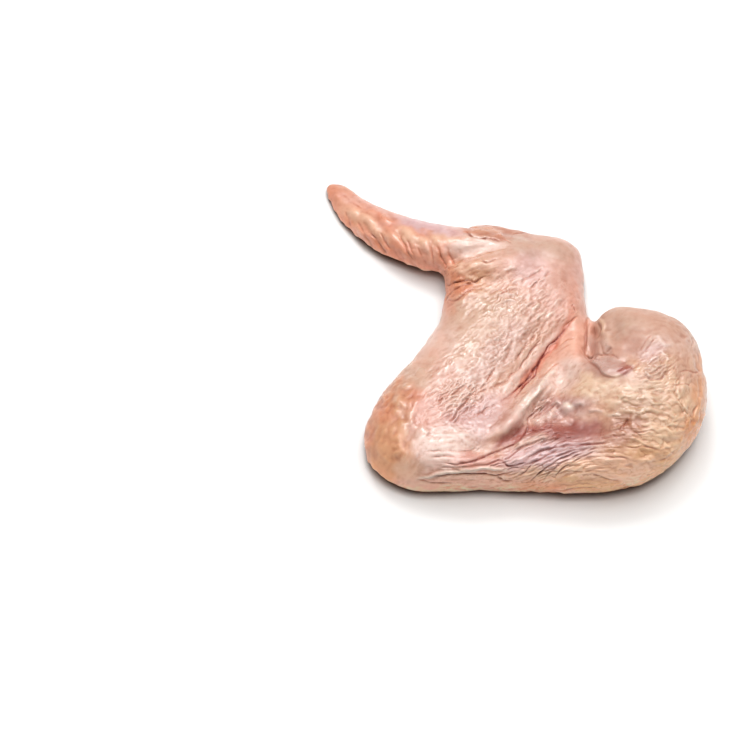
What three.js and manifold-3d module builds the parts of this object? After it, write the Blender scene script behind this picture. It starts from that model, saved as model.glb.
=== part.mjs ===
// A raw chicken wing with its skin on, lying folded in a Z on a table: the pointed tip with its
// small thumb, the flat between wrist and elbow, the drumette up to its cut shoulder, and the
// thin web of skin that joins them inside the bend.
//
// Millimetres, +Z up, +X from the tip towards the shoulder, and the elbow at the front. The part
// is built as one smooth field, below 0 inside the flesh, and its skin is the level where the
// field is 0. Each segment is a limb: a curved centreline on which every station gives where the
// middle of the limb is, how far it reaches to each side, and how far up and down.
import * as THREE from "three";
import { mergeVertices } from "three/addons/utils/BufferGeometryUtils.js";
import Module from "manifold-3d";

// Edge of the cells in which the skin is traced
const CELL = 2.2;
// The box in which it is traced
const TRACED_LOW = [-70, -70, -8.1];
const TRACED_HIGH = [70, 66, 33];
// Steps along each limb between two of its stations
const STEPS_PER_STATION = 5;
// Times that the traced vertices are evened out, how far they move each time towards the mean of
// their neighbours, and the least slope squared of the field that they are then moved along
const SETTLING_ROUNDS = 6;
const SETTLING = 0.5;
const LEAST_SLOPE = 0.1;
// Farther than this from a limb, its field is only roughly known
const FAR = 8;
// How square a limb's section is: 2 is an ellipse
const SECTION_POWER = 2.2;

// Every station is the middle of the limb (x, y, z), its reach to each side and its half height.
const TIP = [
  { x: -60.0, y: 56.9, z: 2.8, side: 2.9, tall: 3.2 },
  { x: -57.7, y: 54.1, z: 3.5, side: 4.2, tall: 3.9 },
  { x: -51.8, y: 46.2, z: 4.5, side: 5.9, tall: 4.8 },
  { x: -41.2, y: 37.2, z: 6.2, side: 8.0, tall: 5.6 },
  { x: -28.0, y: 30.3, z: 8.7, side: 9.0, tall: 5.8 },
  { x: -15.5, y: 27.4, z: 10.4, side: 8.4, tall: 5.8 },
  { x: 2.0, y: 25.2, z: 9.6, side: 6.8, tall: 6.4 },
];
const THUMB = [
  { x: -13.8, y: 36.9, z: 8.6, side: 2.0, tall: 2.4 },
  { x: -8.0, y: 36.0, z: 8.8, side: 2.6, tall: 3.2 },
  { x: 0.5, y: 33.2, z: 8.6, side: 3.2, tall: 4.0 },
  { x: 9.5, y: 29.8, z: 8.2, side: 4.2, tall: 4.6 },
];
const FLAT = [
  { x: 11.8, y: 23.4, z: 7.4, side: 10.6, tall: 8.2 },
  { x: 4.8, y: 13.2, z: 7.2, side: 17.0, tall: 8.8 },
  { x: -3.4, y: 2.6, z: 7.2, side: 18.2, tall: 9.0 },
  { x: -11.4, y: -10.0, z: 7.2, side: 17.8, tall: 9.2 },
  { x: -19.2, y: -22.7, z: 7.2, side: 18.2, tall: 9.6 },
  { x: -28.2, y: -34.2, z: 7.4, side: 18.2, tall: 10.0 },
  { x: -33.4, y: -41.2, z: 7.2, side: 16.3, tall: 10.0 },
];
// The puffy fold of skin where the hand comes out from under the flat
const CUFF = [
  { x: -17.2, y: 3.0, z: 8.0, side: 6.0, tall: 5.6 },
  { x: -16.2, y: 10.5, z: 8.8, side: 7.2, tall: 6.2 },
  { x: -15.2, y: 16.4, z: 9.6, side: 7.8, tall: 6.6 },
  { x: -8.5, y: 18.6, z: 10.4, side: 6.4, tall: 6.6 },
  { x: 0.0, y: 20.0, z: 10.6, side: 5.0, tall: 6.0 },
];
const DRUMETTE = [
  { x: -29.0, y: -47.8, z: 7.2, side: 7.7, tall: 8.8 },
  { x: -13.5, y: -48.4, z: 7.2, side: 8.6, tall: 9.4 },
  { x: 1.5, y: -47.4, z: 7.6, side: 10.8, tall: 10.4 },
  { x: 17.0, y: -43.6, z: 8.6, side: 15.6, tall: 11.8 },
  { x: 29.6, y: -37.2, z: 10.2, side: 20.8, tall: 13.4 },
  { x: 36.8, y: -28.9, z: 11.4, side: 20.8, tall: 14.8 },
  { x: 39.8, y: -18.0, z: 11.6, side: 17.3, tall: 14.8 },
];
const SHOULDER = [
  { x: 41.0, y: -13.0, z: 11.8, side: 13.2, tall: 14.0 },
  { x: 32.6, y: -5.5, z: 10.2, side: 9.2, tall: 12.0 },
];
// The bare end of the muscle, low between the shoulder and the rim and bulging from under it
const STUMP = [
  { x: 22.6, y: -1.6, z: 4.2, side: 3.4, tall: 5.2 },
  { x: 24.4, y: -10.0, z: 6.2, side: 4.8, tall: 6.4 },
  { x: 28.6, y: -17.0, z: 9.2, side: 5.6, tall: 7.6 },
];
const WEB = [
  { x: 16.4, y: -2.0, z: 6.6, side: 5.4, tall: 5.8 },
  { x: 9.5, y: -18.5, z: 7.4, side: 9.5, tall: 6.6 },
  { x: -3.0, y: -35.6, z: 7.8, side: 10.0, tall: 7.4 },
  { x: -20.0, y: -47.8, z: 7.8, side: 8.0, tall: 7.8 },
];
const WEB_RIM = [
  { x: 16.6, y: 6.0, z: 7.4, side: 3.7, tall: 4.8 },
  { x: 16.8, y: -7.0, z: 8.0, side: 4.2, tall: 6.0 },
  { x: 18.6, y: -17.5, z: 9.4, side: 5.4, tall: 7.4 },
  { x: 26.5, y: -27.0, z: 12.0, side: 6.2, tall: 9.8 },
  { x: 36.0, y: -28.5, z: 13.4, side: 7.4, tall: 12.6 },
];

// Folds of the skin on top: a path in plan, how deep it cuts in (or, below 0, how far it stands
// out) and half its width. They fade towards both ends, and near the table.
const FOLDS = [
  // the deep crease where the flat overhangs the web
  { deep: 2.0, wide: 3.0, path: [[18.5, 1.0], [13.0, -6.7], [8.0, -12.7], [2.9, -20.4], [-2.5, -29.5]] },
  // the smooth ridge beyond it, and the long groove under that ridge
  { deep: -1.6, wide: 3.2, path: [[9.0, -22.0], [2.4, -30.5], [-4.3, -39.5], [-9.5, -45.0]] },
  { deep: 1.8, wide: 3.0, path: [[10.5, -28.0], [4.3, -35.0], [-0.2, -41.4], [-7.8, -47.4], [-26.1, -51.2]] },
  // the dark hollow in the drumette's middle
  { deep: 2.8, wide: 5.5, path: [[8.0, -37.8], [17.0, -39.4], [27.0, -40.9]] },
  // the wrinkle that runs from the hollow to the elbow, and the pale cord below it
  { deep: 1.0, wide: 2.2, path: [[24.0, -45.7], [10.3, -47.6], [1.2, -49.2], [-8.0, -50.6]] },
  { deep: -1.2, wide: 2.2, path: [[-25.0, -53.2], [-13.9, -53.6], [-2.0, -54.0]] },
  // along the rim of the web, where the muscle comes out from under it
  { deep: 1.8, wide: 2.2, path: [[21.4, -10.0], [23.0, -16.5], [26.2, -21.4], [31.0, -22.4], [35.0, -20.0]] },
  // the fold in the muscle's end
  { deep: 1.2, wide: 2.2, path: [[29.4, -4.0], [29.6, -9.0], [28.6, -14.0]] },
  // above the cuff, and below it
  { deep: 1.2, wide: 2.2, path: [[-24.0, 22.0], [-15.0, 23.0], [-6.0, 25.0]] },
  { deep: 1.4, wide: 2.2, path: [[-24.0, 12.5], [-16.0, 13.5], [-8.0, 15.5]] },
];
// Over these heights the folds fade in
const FOLDS_FROM = 3;
const FOLDS_TO = 8;
// The share of a fold's length over which it fades at each end, and how deep it still is there
const FOLD_FADE = 0.25;
const FOLD_END = 0.25;

function lerp(a, b, t) {
  return a + (b - a) * t;
}

// A limb's stations, joined by a smooth curve and sampled evenly between them
function sampledLimb(stations) {
  const middle = new THREE.CatmullRomCurve3(
    stations.map((s) => new THREE.Vector3(s.x, s.y, s.z)), false, "centripetal");
  const reach = new THREE.CatmullRomCurve3(
    stations.map((s) => new THREE.Vector3(s.side, s.tall, 0)), false, "centripetal");
  const count = (stations.length - 1) * STEPS_PER_STATION;
  const samples = [];
  for (let i = 0; i <= count; i += 1) {
    const at = middle.getPoint(i / count);
    const size = reach.getPoint(i / count);
    samples.push({ x: at.x, y: at.y, z: at.z, side: size.x, tall: size.y });
  }
  return samples;
}

// The field round a limb: nearly the distance to its skin, below 0 inside. Far from the limb the
// distance to its box does as well.
function limbField(stations) {
  const samples = sampledLimb(stations);
  const box = new THREE.Box3();
  for (const s of samples) {
    box.expandByPoint(new THREE.Vector3(s.x - s.side, s.y - s.side, s.z - s.tall));
    box.expandByPoint(new THREE.Vector3(s.x + s.side, s.y + s.side, s.z + s.tall));
  }
  const point = new THREE.Vector3();
  return (x, y, z) => {
    let least = box.distanceToPoint(point.set(x, y, z));
    if (least > FAR) return least;
    least = Infinity;
    for (let i = 1; i < samples.length; i += 1) {
      const a = samples[i - 1];
      const b = samples[i];
      const along = (x - a.x) * (b.x - a.x) + (y - a.y) * (b.y - a.y);
      const length2 = (b.x - a.x) ** 2 + (b.y - a.y) ** 2;
      const t = Math.min(1, Math.max(0, along / length2));
      const side = lerp(a.side, b.side, t);
      const tall = lerp(a.tall, b.tall, t);
      const across = Math.hypot(x - lerp(a.x, b.x, t), y - lerp(a.y, b.y, t)) / side;
      const above = Math.abs(z - lerp(a.z, b.z, t)) / tall;
      const shell = (across ** SECTION_POWER + above ** SECTION_POWER) ** (1 / SECTION_POWER);
      least = Math.min(least, (shell - 1) * Math.min(side, tall));
    }
    return least;
  };
}

// Two fields joined with a fillet about as wide as round
function joined(a, b, round) {
  const near = Math.max(round - Math.abs(a - b), 0) / round;
  return Math.min(a, b) - near * near * round / 4;
}

// Distance in plan from a path, and how far along it the nearest point is, from 0 to 1
function alongPath(path, x, y) {
  let least = Infinity;
  let where = 0;
  for (let i = 1; i < path.length; i += 1) {
    const [ax, ay] = path[i - 1];
    const [bx, by] = path[i];
    const length2 = (bx - ax) ** 2 + (by - ay) ** 2;
    const along = ((x - ax) * (bx - ax) + (y - ay) * (by - ay)) / length2;
    const t = Math.min(1, Math.max(0, along));
    const distance = Math.hypot(x - lerp(ax, bx, t), y - lerp(ay, by, t));
    if (distance < least) {
      least = distance;
      where = (i - 1 + t) / (path.length - 1);
    }
  }
  return [least, where];
}

function smoothstep(from, to, value) {
  return THREE.MathUtils.smoothstep(value, from, to);
}

// How far all folds together push the skin in at a point
function foldsAt(x, y, z) {
  let push = 0;
  for (const fold of FOLDS) {
    const [distance, where] = alongPath(fold.path, x, y);
    const fade = smoothstep(0, FOLD_FADE, where) * smoothstep(0, FOLD_FADE, 1 - where);
    push += fold.deep * Math.exp(-((distance / fold.wide) ** 2)) * lerp(FOLD_END, 1, fade);
  }
  return push * smoothstep(FOLDS_FROM, FOLDS_TO, z);
}

const fields = {
  tip: limbField(TIP),
  thumb: limbField(THUMB),
  cuff: limbField(CUFF),
  flat: limbField(FLAT),
  drumette: limbField(DRUMETTE),
  shoulder: limbField(SHOULDER),
  stump: limbField(STUMP),
  web: limbField(WEB),
  rim: limbField(WEB_RIM),
};

// How wide the fillets are between the parts of the wing
const FILLET = { muscle: 5, stump: 2, rim: 2.5, web: 5, hand: 2.5, cuff: 3, bend: 6, thumb: 1.2 };

function wingField(x, y, z) {
  const at = (name) => fields[name](x, y, z);
  let arm = joined(at("drumette"), at("shoulder"), FILLET.muscle);
  arm = joined(arm, at("stump"), FILLET.stump);
  arm = joined(arm, at("rim"), FILLET.rim);
  arm = joined(arm, at("web"), FILLET.web);
  let hand = joined(at("flat"), at("tip"), FILLET.hand);
  hand = joined(hand, at("cuff"), FILLET.cuff);
  const whole = joined(hand, arm, FILLET.bend);
  return joined(whole, at("thumb"), FILLET.thumb) + foldsAt(x, y, z);
}

// The corners of a cell are numbered by three bits, one for each axis. An edge starts at a corner
// and runs along an axis, so it is numbered by both. A face is the ring of its four corners.
const edgeOf = (corner, axis) => corner * 3 + axis;
const CELL_EDGES = [];
const CELL_FACES = [];
for (let axis = 0; axis < 3; axis += 1) {
  const u = 1 << ((axis + 1) % 3);
  const v = 1 << ((axis + 2) % 3);
  for (const base of [0, 1 << axis]) CELL_FACES.push([base, base | u, base | u | v, base | v]);
  for (const corner of [0, u, v, u | v]) CELL_EDGES.push({ corner, axis, other: corner | (1 << axis) });
}

function edgeBetween(a, b) {
  return edgeOf(Math.min(a, b), Math.log2(a ^ b));
}

// The separate patches of skin in a cell, each as the list of the cell's edges that it cuts. Two
// cuts belong together where they are the ends of one line across a face of the cell. On a face
// with four cuts, each line goes round a corner that is inside.
function patchesOf(inside) {
  const links = new Map();
  for (const { corner, axis, other } of CELL_EDGES)
    if (inside[corner] !== inside[other]) links.set(edgeOf(corner, axis), []);
  for (const ring of CELL_FACES) {
    const edges = ring.map((corner, n) => edgeBetween(corner, ring[(n + 1) % 4]));
    const cuts = edges.filter((edge) => links.has(edge));
    const pairs = cuts.length === 2 ? [cuts] : [];
    if (cuts.length === 4)
      ring.forEach((corner, n) => {
        if (inside[corner]) pairs.push([edges[n], edges[(n + 3) % 4]]);
      });
    for (const [a, b] of pairs) {
      links.get(a).push(b);
      links.get(b).push(a);
    }
  }
  const patches = [];
  const seen = new Set();
  for (const first of links.keys()) {
    if (seen.has(first)) continue;
    const patch = [first];
    seen.add(first);
    for (const edge of patch)
      for (const next of links.get(edge))
        if (!seen.has(next)) {
          seen.add(next);
          patch.push(next);
        }
    patches.push(patch);
  }
  return patches;
}

// Traces the level 0 of a field in a box of cells: one vertex for each patch of skin in a cell, at
// the mean of where it cuts the cell's edges, and one quad round each edge that the skin cuts.
function tracedSkin(field, low, high, cell) {
  const count = [0, 1, 2].map((k) => Math.ceil((high[k] - low[k]) / cell));
  const points = count.map((n) => n + 1);
  const value = new Float32Array(points[0] * points[1] * points[2]);
  const step = [1, points[0], points[0] * points[1]];
  const place = (i, j, k) => i + j * step[1] + k * step[2];
  for (let k = 0; k < points[2]; k += 1)
    for (let j = 0; j < points[1]; j += 1)
      for (let i = 0; i < points[0]; i += 1)
        value[place(i, j, k)] = field(low[0] + i * cell, low[1] + j * cell, low[2] + k * cell);

  const vertexOf = new Map();
  const edgesPerCell = 24;
  const positions = [];
  const bit = (corner, axis) => (corner >> axis) & 1;
  const offset = (corner) => [0, 1, 2].reduce((sum, m) => sum + bit(corner, m) * step[m], 0);
  const offsets = [0, 1, 2, 3, 4, 5, 6, 7].map(offset);
  for (let k = 0; k < count[2]; k += 1)
    for (let j = 0; j < count[1]; j += 1)
      for (let i = 0; i < count[0]; i += 1) {
        const base = place(i, j, k);
        const values = offsets.map((o) => value[base + o]);
        const inside = values.map((v) => v < 0);
        if (inside.every((is) => is === inside[0])) continue;
        for (const patch of patchesOf(inside)) {
          const sum = [0, 0, 0];
          for (const edge of patch) {
            const corner = Math.floor(edge / 3);
            const axis = edge % 3;
            const from = values[corner];
            const t = from / (from - values[corner | (1 << axis)]);
            for (let m = 0; m < 3; m += 1) sum[m] += bit(corner, m) + (m === axis ? t : 0);
            vertexOf.set(base * edgesPerCell + edge, positions.length / 3);
          }
          [i, j, k].forEach((n, m) => positions.push(low[m] + (n + sum[m] / patch.length) * cell));
        }
      }

  const index = [];
  const gap = (a, b) => Math.hypot(...[0, 1, 2].map((m) => positions[3 * a + m] - positions[3 * b + m]));
  for (let k = 1; k < count[2]; k += 1)
    for (let j = 1; j < count[1]; j += 1)
      for (let i = 1; i < count[0]; i += 1)
        for (let axis = 0; axis < 3; axis += 1) {
          const base = place(i, j, k);
          const inside = value[base] < 0;
          if (inside === value[base + step[axis]] < 0) continue;
          const u = 1 << ((axis + 1) % 3);
          const v = 1 << ((axis + 2) % 3);
          const ring = [u | v, v, 0, u].map((corner) =>
            vertexOf.get((base - offsets[corner]) * edgesPerCell + edgeOf(corner, axis)));
          if (!inside) ring.reverse();
          if (gap(ring[1], ring[3]) < gap(ring[0], ring[2])) ring.push(ring.shift());
          index.push(ring[0], ring[1], ring[2], ring[0], ring[2], ring[3]);
        }
  settle(field, positions, index, cell);
  const geometry = new THREE.BufferGeometry();
  geometry.setAttribute("position", new THREE.Float32BufferAttribute(positions, 3));
  geometry.setIndex(index);
  return geometry;
}

// Evens out the traced vertices: each moves to the mean of its neighbours, then back onto the
// skin along the field's slope.
function settle(field, positions, index, cell) {
  const neighbours = Array.from({ length: positions.length / 3 }, () => new Set());
  for (let n = 0; n < index.length; n += 3)
    for (let m = 0; m < 3; m += 1) {
      neighbours[index[n + m]].add(index[n + ((m + 1) % 3)]);
      neighbours[index[n + ((m + 1) % 3)]].add(index[n + m]);
    }
  const small = cell / 50;
  const farthest = cell / 4;
  for (let round = 0; round < SETTLING_ROUNDS; round += 1) {
    const before = positions.slice();
    neighbours.forEach((near, v) => {
      const point = [0, 1, 2].map((m) => {
        let sum = 0;
        for (const other of near) sum += before[3 * other + m];
        return lerp(before[3 * v + m], sum / near.size, SETTLING);
      });
      const value = field(...point);
      const slope = [0, 1, 2].map((m) => {
        const moved = point.slice();
        moved[m] += small;
        return (field(...moved) - value) / small;
      });
      const steep = Math.max(slope[0] ** 2 + slope[1] ** 2 + slope[2] ** 2, LEAST_SLOPE);
      const step = THREE.MathUtils.clamp(value / steep, -farthest, farthest);
      for (let m = 0; m < 3; m += 1) positions[3 * v + m] = point[m] - slope[m] * step;
    });
  }
}

const wasm = await Module();
wasm.setup();

function solidOf(geometry) {
  const bare = geometry.clone();
  bare.deleteAttribute("normal");
  bare.deleteAttribute("uv");
  const merged = mergeVertices(bare);
  return new wasm.Manifold(new wasm.Mesh({
    numProp: 3,
    vertProperties: merged.attributes.position.array,
    triVerts: new Uint32Array(merged.index.array),
  }));
}

function geometryOf(solid) {
  const mesh = solid.getMesh();
  const geometry = new THREE.BufferGeometry();
  geometry.setAttribute("position", new THREE.Float32BufferAttribute(mesh.vertProperties, 3));
  geometry.setIndex(new THREE.BufferAttribute(mesh.triVerts, 1));
  return geometry;
}

// The flesh settles flat where it lies on the table, so what would reach below it is cut away. The
// origin is then put under the middle of the whole.
function wingGeometry() {
  const traced = tracedSkin(wingField, TRACED_LOW, TRACED_HIGH, CELL);
  const width = 2 * TRACED_HIGH[0];
  const below = new THREE.BoxGeometry(width, width, width).translate(0, 0, -width / 2);
  const geometry = geometryOf(solidOf(traced).subtract(solidOf(below)));
  geometry.computeBoundingBox();
  const middle = geometry.boundingBox.getCenter(new THREE.Vector3());
  return geometry.translate(-middle.x, -middle.y, -geometry.boundingBox.min.z);
}

const skin = new THREE.MeshStandardMaterial({ color: 0xe3b9a0, roughness: 0.35, metalness: 0 });
const wing = new THREE.Mesh(wingGeometry(), skin);
wing.name = "wing";
const group = new THREE.Group();
group.add(wing);

export default group;
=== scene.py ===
import math

import bmesh
import bpy
import numpy as np
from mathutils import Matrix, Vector, geometry, kdtree


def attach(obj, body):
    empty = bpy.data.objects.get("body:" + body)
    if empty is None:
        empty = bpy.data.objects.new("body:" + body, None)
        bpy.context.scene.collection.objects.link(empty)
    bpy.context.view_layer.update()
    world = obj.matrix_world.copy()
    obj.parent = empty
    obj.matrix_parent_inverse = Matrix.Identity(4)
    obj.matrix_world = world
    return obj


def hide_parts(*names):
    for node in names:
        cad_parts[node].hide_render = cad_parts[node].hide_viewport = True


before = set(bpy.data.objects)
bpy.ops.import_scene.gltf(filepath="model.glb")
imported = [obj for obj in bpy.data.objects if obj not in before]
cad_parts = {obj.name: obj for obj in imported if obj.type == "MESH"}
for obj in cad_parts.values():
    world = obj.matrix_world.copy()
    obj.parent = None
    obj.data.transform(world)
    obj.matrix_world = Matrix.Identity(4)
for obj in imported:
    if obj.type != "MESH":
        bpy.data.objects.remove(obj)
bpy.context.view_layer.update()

# Sizes are worked out in mm, and the scene is in metres.
MM = 0.001
PX_PER_MM = 3.1
IMAGE = 736
LENS = 100.0
SENSOR = 36.0
ELEVATION = math.radians(60)
TARGET = np.array([-45.741, -10.491, 0.0])
FOCAL_PX = IMAGE * LENS / SENSOR
DISTANCE = FOCAL_PX / PX_PER_MM

VIEW_RIGHT = np.array([1.0, 0.0, 0.0])
VIEW_UP = np.array([0.0, math.sin(ELEVATION), math.cos(ELEVATION)])
VIEW_FORWARD = np.array([0.0, math.cos(ELEVATION), -math.sin(ELEVATION)])
CAMERA = TARGET - VIEW_FORWARD * DISTANCE

# The skin's mesh: how finely its upper faces are cut, and how much it is smoothed before the relief
# goes on. Faces with much relief are cut once more, where they face the camera and lie this high in mm,
# and so are those within so many widths of a crease.
CUTS = 3
UPWARD = -0.1
SMOOTHING_ROUNDS = 16
RELIEF_WORTH_CUTTING = 0.27
CUT_FACING = 0.15
CUT_ABOVE = 1.0
CUT_REACH = 1.6
# What lies this near in mm is one point, and normals are evened out in so many rounds.
SAME_PLACE = 0.01
NORMAL_ROUNDS = 6
# Smoothing, what is drawn, and the grain are full at these heights in mm, and fade towards the table.
SMOOTH_ABOVE = 0.8
DRAWN_ABOVE = 1.5
GRAIN_ABOVE = 2.0
# Further than anything here.
FAR = 1e9

# Each tone is a colour of the skin as the eye sees it, red, green and blue to 255.
TONES = {
    "skin": (233, 190, 170),
    "pale": (248, 222, 212),
    "ivory": (252, 238, 224),
    "pink": (240, 196, 184),
    "blush": (233, 186, 172),
    "rose": (230, 172, 160),
    "lilac": (231, 197, 200),
    "salmon": (246, 194, 174),
    "coral": (234, 164, 136),
    "burnt": (228, 148, 114),
    "apricot": (240, 182, 142),
    "orange": (234, 170, 124),
    "tan": (223, 168, 132),
    "beige": (227, 192, 172),
    "sand": (242, 204, 174),
    "peach": (252, 212, 184),
    "putty": (220, 180, 160),
    "khaki": (208, 174, 146),
    "honey": (230, 182, 134),
    "scarlet": (220, 122, 96),
    "butter": (244, 214, 188),
    "flesh": (222, 176, 156),
    "wan": (216, 184, 166),
    "veal": (207, 167, 155),
    "cream": (255, 226, 194),
    "grey": (220, 186, 182),
    "dusk": (206, 152, 132),
    "maroon": (156, 79, 68),
    "grape": (166, 124, 128),
    "brown": (176, 108, 86),
    "groove": (206, 138, 118),
    "blood": (160, 48, 30),
    "clot": (112, 24, 16),
    "umber": (146, 92, 84),
    "amber": (234, 163, 104),
    "thumb": (210, 150, 126),
    "plum": (184, 114, 105),
    "russet": (190, 132, 108),
}

# The light and the wet gloss brighten every tone, so it is laid on with this share of its red, green
# and blue.
TONE_SHARE = np.array([0.70, 0.635, 0.60])

# Soft patches of colour: where in the photograph, how far they reach across and down, how far they
# are turned, which tone, and how strong. Later ones lie over earlier ones.
ZONES = [
    # tip
    (388, 228, 76, 26, -26, "coral", 1.0),
    (364, 222, 28, 9, -35, "peach", 0.6),
    (333, 194, 9, 8, 0, "burnt", 0.6),
    (392, 250, 62, 8, -27, "burnt", 0.5),
    (362, 238, 10, 8, -40, "salmon", 0.6),
    (412, 238, 18, 8, -35, "peach", 0.7),
    (430, 255, 22, 9, -15, "salmon", 0.6),
    (402, 214, 58, 6, -17, "pink", 0.8),
    (430, 226, 32, 6, -12, "lilac", 1.0),
    (439, 240, 15, 7, 0, "peach", 0.7),
    (446, 258, 8, 15, 20, "coral", 0.9),
    # wrist
    (545, 270, 48, 50, 0, "blush", 0.8),
    (532, 247, 40, 12, -10, "wan", 0.8),
    (474, 247, 24, 9, 15, "pale", 0.9),
    (520, 230, 40, 5, -5, "dusk", 0.6),
    (577, 285, 7, 38, -5, "pink", 0.8),
    (464, 284, 26, 16, 20, "tan", 0.9),
    (490, 282, 20, 22, 0, "tan", 0.4),
    (468, 267, 14, 5, 20, "peach", 0.6),
    (574, 300, 8, 20, 0, "coral", 0.35),
    (456, 286, 13, 14, 20, "burnt", 0.7),
    (446, 300, 9, 20, 0, "coral", 0.8),
    (532, 268, 16, 16, 0, "lilac", 0.4),
    (471, 229, 9, 4, 0, "burnt", 0.9),
    (488, 232, 24, 6, -8, "thumb", 0.9),
    # flat
    (485, 335, 50, 38, 40, "beige", 1.0),
    (478, 308, 26, 14, 20, "khaki", 0.3),
    (412, 374, 17, 48, -38, "beige", 1.0),
    (443, 342, 20, 16, 45, "pale", 0.6),
    (464, 292, 12, 6, 25, "burnt", 0.6),
    (452, 388, 34, 20, 45, "pale", 0.6),
    (500, 352, 46, 16, 48, "lilac", 0.3),
    (415, 400, 16, 12, 0, "coral", 0.5),
    (430, 413, 24, 22, 0, "rose", 0.6),
    (428, 350, 14, 22, -40, "salmon", 0.35),
    (411, 396, 12, 12, 0, "burnt", 0.5),
    (446, 374, 14, 14, 0, "rose", 0.3),
    (389, 392, 4, 24, -38, "burnt", 0.6),
    (470, 425, 48, 20, 35, "lilac", 0.7),
    # elbow
    (384, 432, 24, 50, -8, "tan", 1.0),
    (382, 472, 22, 14, 0, "orange", 1.0),
    (393, 448, 18, 20, 0, "apricot", 0.7),
    (380, 408, 14, 14, 0, "burnt", 0.5),
    (366, 435, 6, 30, 0, "burnt", 0.5),
    (448, 446, 32, 18, 0, "pale", 1.0),
    (440, 464, 20, 11, 0, "pale", 0.8),
    (478, 462, 28, 8, -8, "rose", 0.8),
    (408, 467, 13, 12, 0, "peach", 0.7),
    # These thin lines along the lower rim are partly a painted highlight on its wet edge.
    (440, 490, 90, 3, 0, "sand", 0.7),
    (450, 485, 60, 3, 0, "flesh", 0.6),
    # drumette
    (660, 415, 54, 64, 0, "sand", 1.0),
    (660, 400, 34, 26, 0, "butter", 0.4),
    (650, 399, 14, 12, 0, "khaki", 0.5),
    (688, 372, 15, 14, 0, "putty", 0.7),
    (612, 387, 46, 15, 0, "butter", 1.0),
    (630, 412, 17, 11, 0, "khaki", 0.7),
    (628, 450, 34, 9, -8, "honey", 0.6),
    # The peach patches along the lower front slope are partly painted light, laid on paler for the shade
    # that slope gets.
    (602, 468, 54, 12, 0, "peach", 1.0),
    (600, 487, 80, 5, 0, "honey", 0.8),
    (544, 475, 54, 7, -3, "peach", 0.8),
    (606, 473, 40, 7, -6, "peach", 0.9),
    (578, 481, 26, 5, 0, "honey", 0.8),
    (545, 488, 26, 7, 0, "burnt", 0.4),
    (700, 400, 7, 50, -5, "apricot", 0.7),
    (691, 437, 9, 26, -25, "amber", 0.7),
    (662, 474, 34, 8, 35, "apricot", 0.6),
    (672, 462, 26, 11, 35, "honey", 0.8),
    (668, 440, 18, 12, -30, "cream", 0.5),
    (636, 379, 14, 8, 0, "dusk", 0.4),
    # cut shoulder
    (645, 325, 56, 28, -10, "putty", 1.0),
    (622, 343, 26, 18, 0, "dusk", 0.6),
    (616, 326, 22, 16, 0, "wan", 0.6),
    (684, 346, 14, 12, 0, "pale", 0.3),
    (604, 348, 9, 9, 0, "pale", 0.5),
    (594, 345, 6, 9, 0, "veal", 0.8),
    (592, 331, 6, 5, 0, "brown", 0.8),
    (606, 366, 21, 11, 0, "veal", 1.0),
    (663, 343, 8, 9, 0, "pale", 0.7),
    (656, 368, 11, 8, 0, "grape", 0.3),
    (652, 354, 14, 8, 20, "lilac", 0.5),
    # inner bend
    (571, 345, 15, 40, -28, "salmon", 1.0),
    (530, 360, 44, 6, 50, "pale", 0.6),
    (543, 356, 48, 4.5, 53, "scarlet", 0.7),
    (562, 376, 24, 13, 40, "pale", 0.9),
    (546, 453, 46, 13, 15, "lilac", 1.0),
    (562, 409, 30, 11, 15, "grey", 0.9),
    (532, 403, 38, 9, 50, "pale", 0.9),
    # A painted highlight on a wet puff.
    (568, 407, 6, 4, 0, "ivory", 0.8),
    (572, 446, 24, 4, 5, "umber", 0.4),
    (512, 424, 9, 7, 40, "rose", 0.7),
    # The plum band below the pink bump is partly the skin's own colour and partly painted shade.
    (511, 439, 24, 6, 32, "plum", 0.9),
    (534, 431, 20, 6, 8, "plum", 0.9),
    (570, 430, 32, 10, 0, "plum", 0.9),
    (580, 429, 27, 9, 0, "maroon", 0.65),
    # The russet patch right of the hollow is painted shade.
    (620, 431, 24, 15, 30, "russet", 0.8),
    # cut shoulder
    (587, 338, 2, 16, 0, "brown", 0.5),
    (624, 369, 8, 4, 20, "blood", 0.7),
]

# The kinds of grain that the skin has, and how long and wide their folds are in mm: crepe is a net of
# thin winding ridges, strand long fine ones, goose puffed bumps, and plain hardly anything.
GRAIN_KINDS = {"crepe": (6.4, 0.95), "strand": (9.0, 0.95), "goose": (3.1, 1.45), "plain": (4.0, 2.5)}

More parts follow.
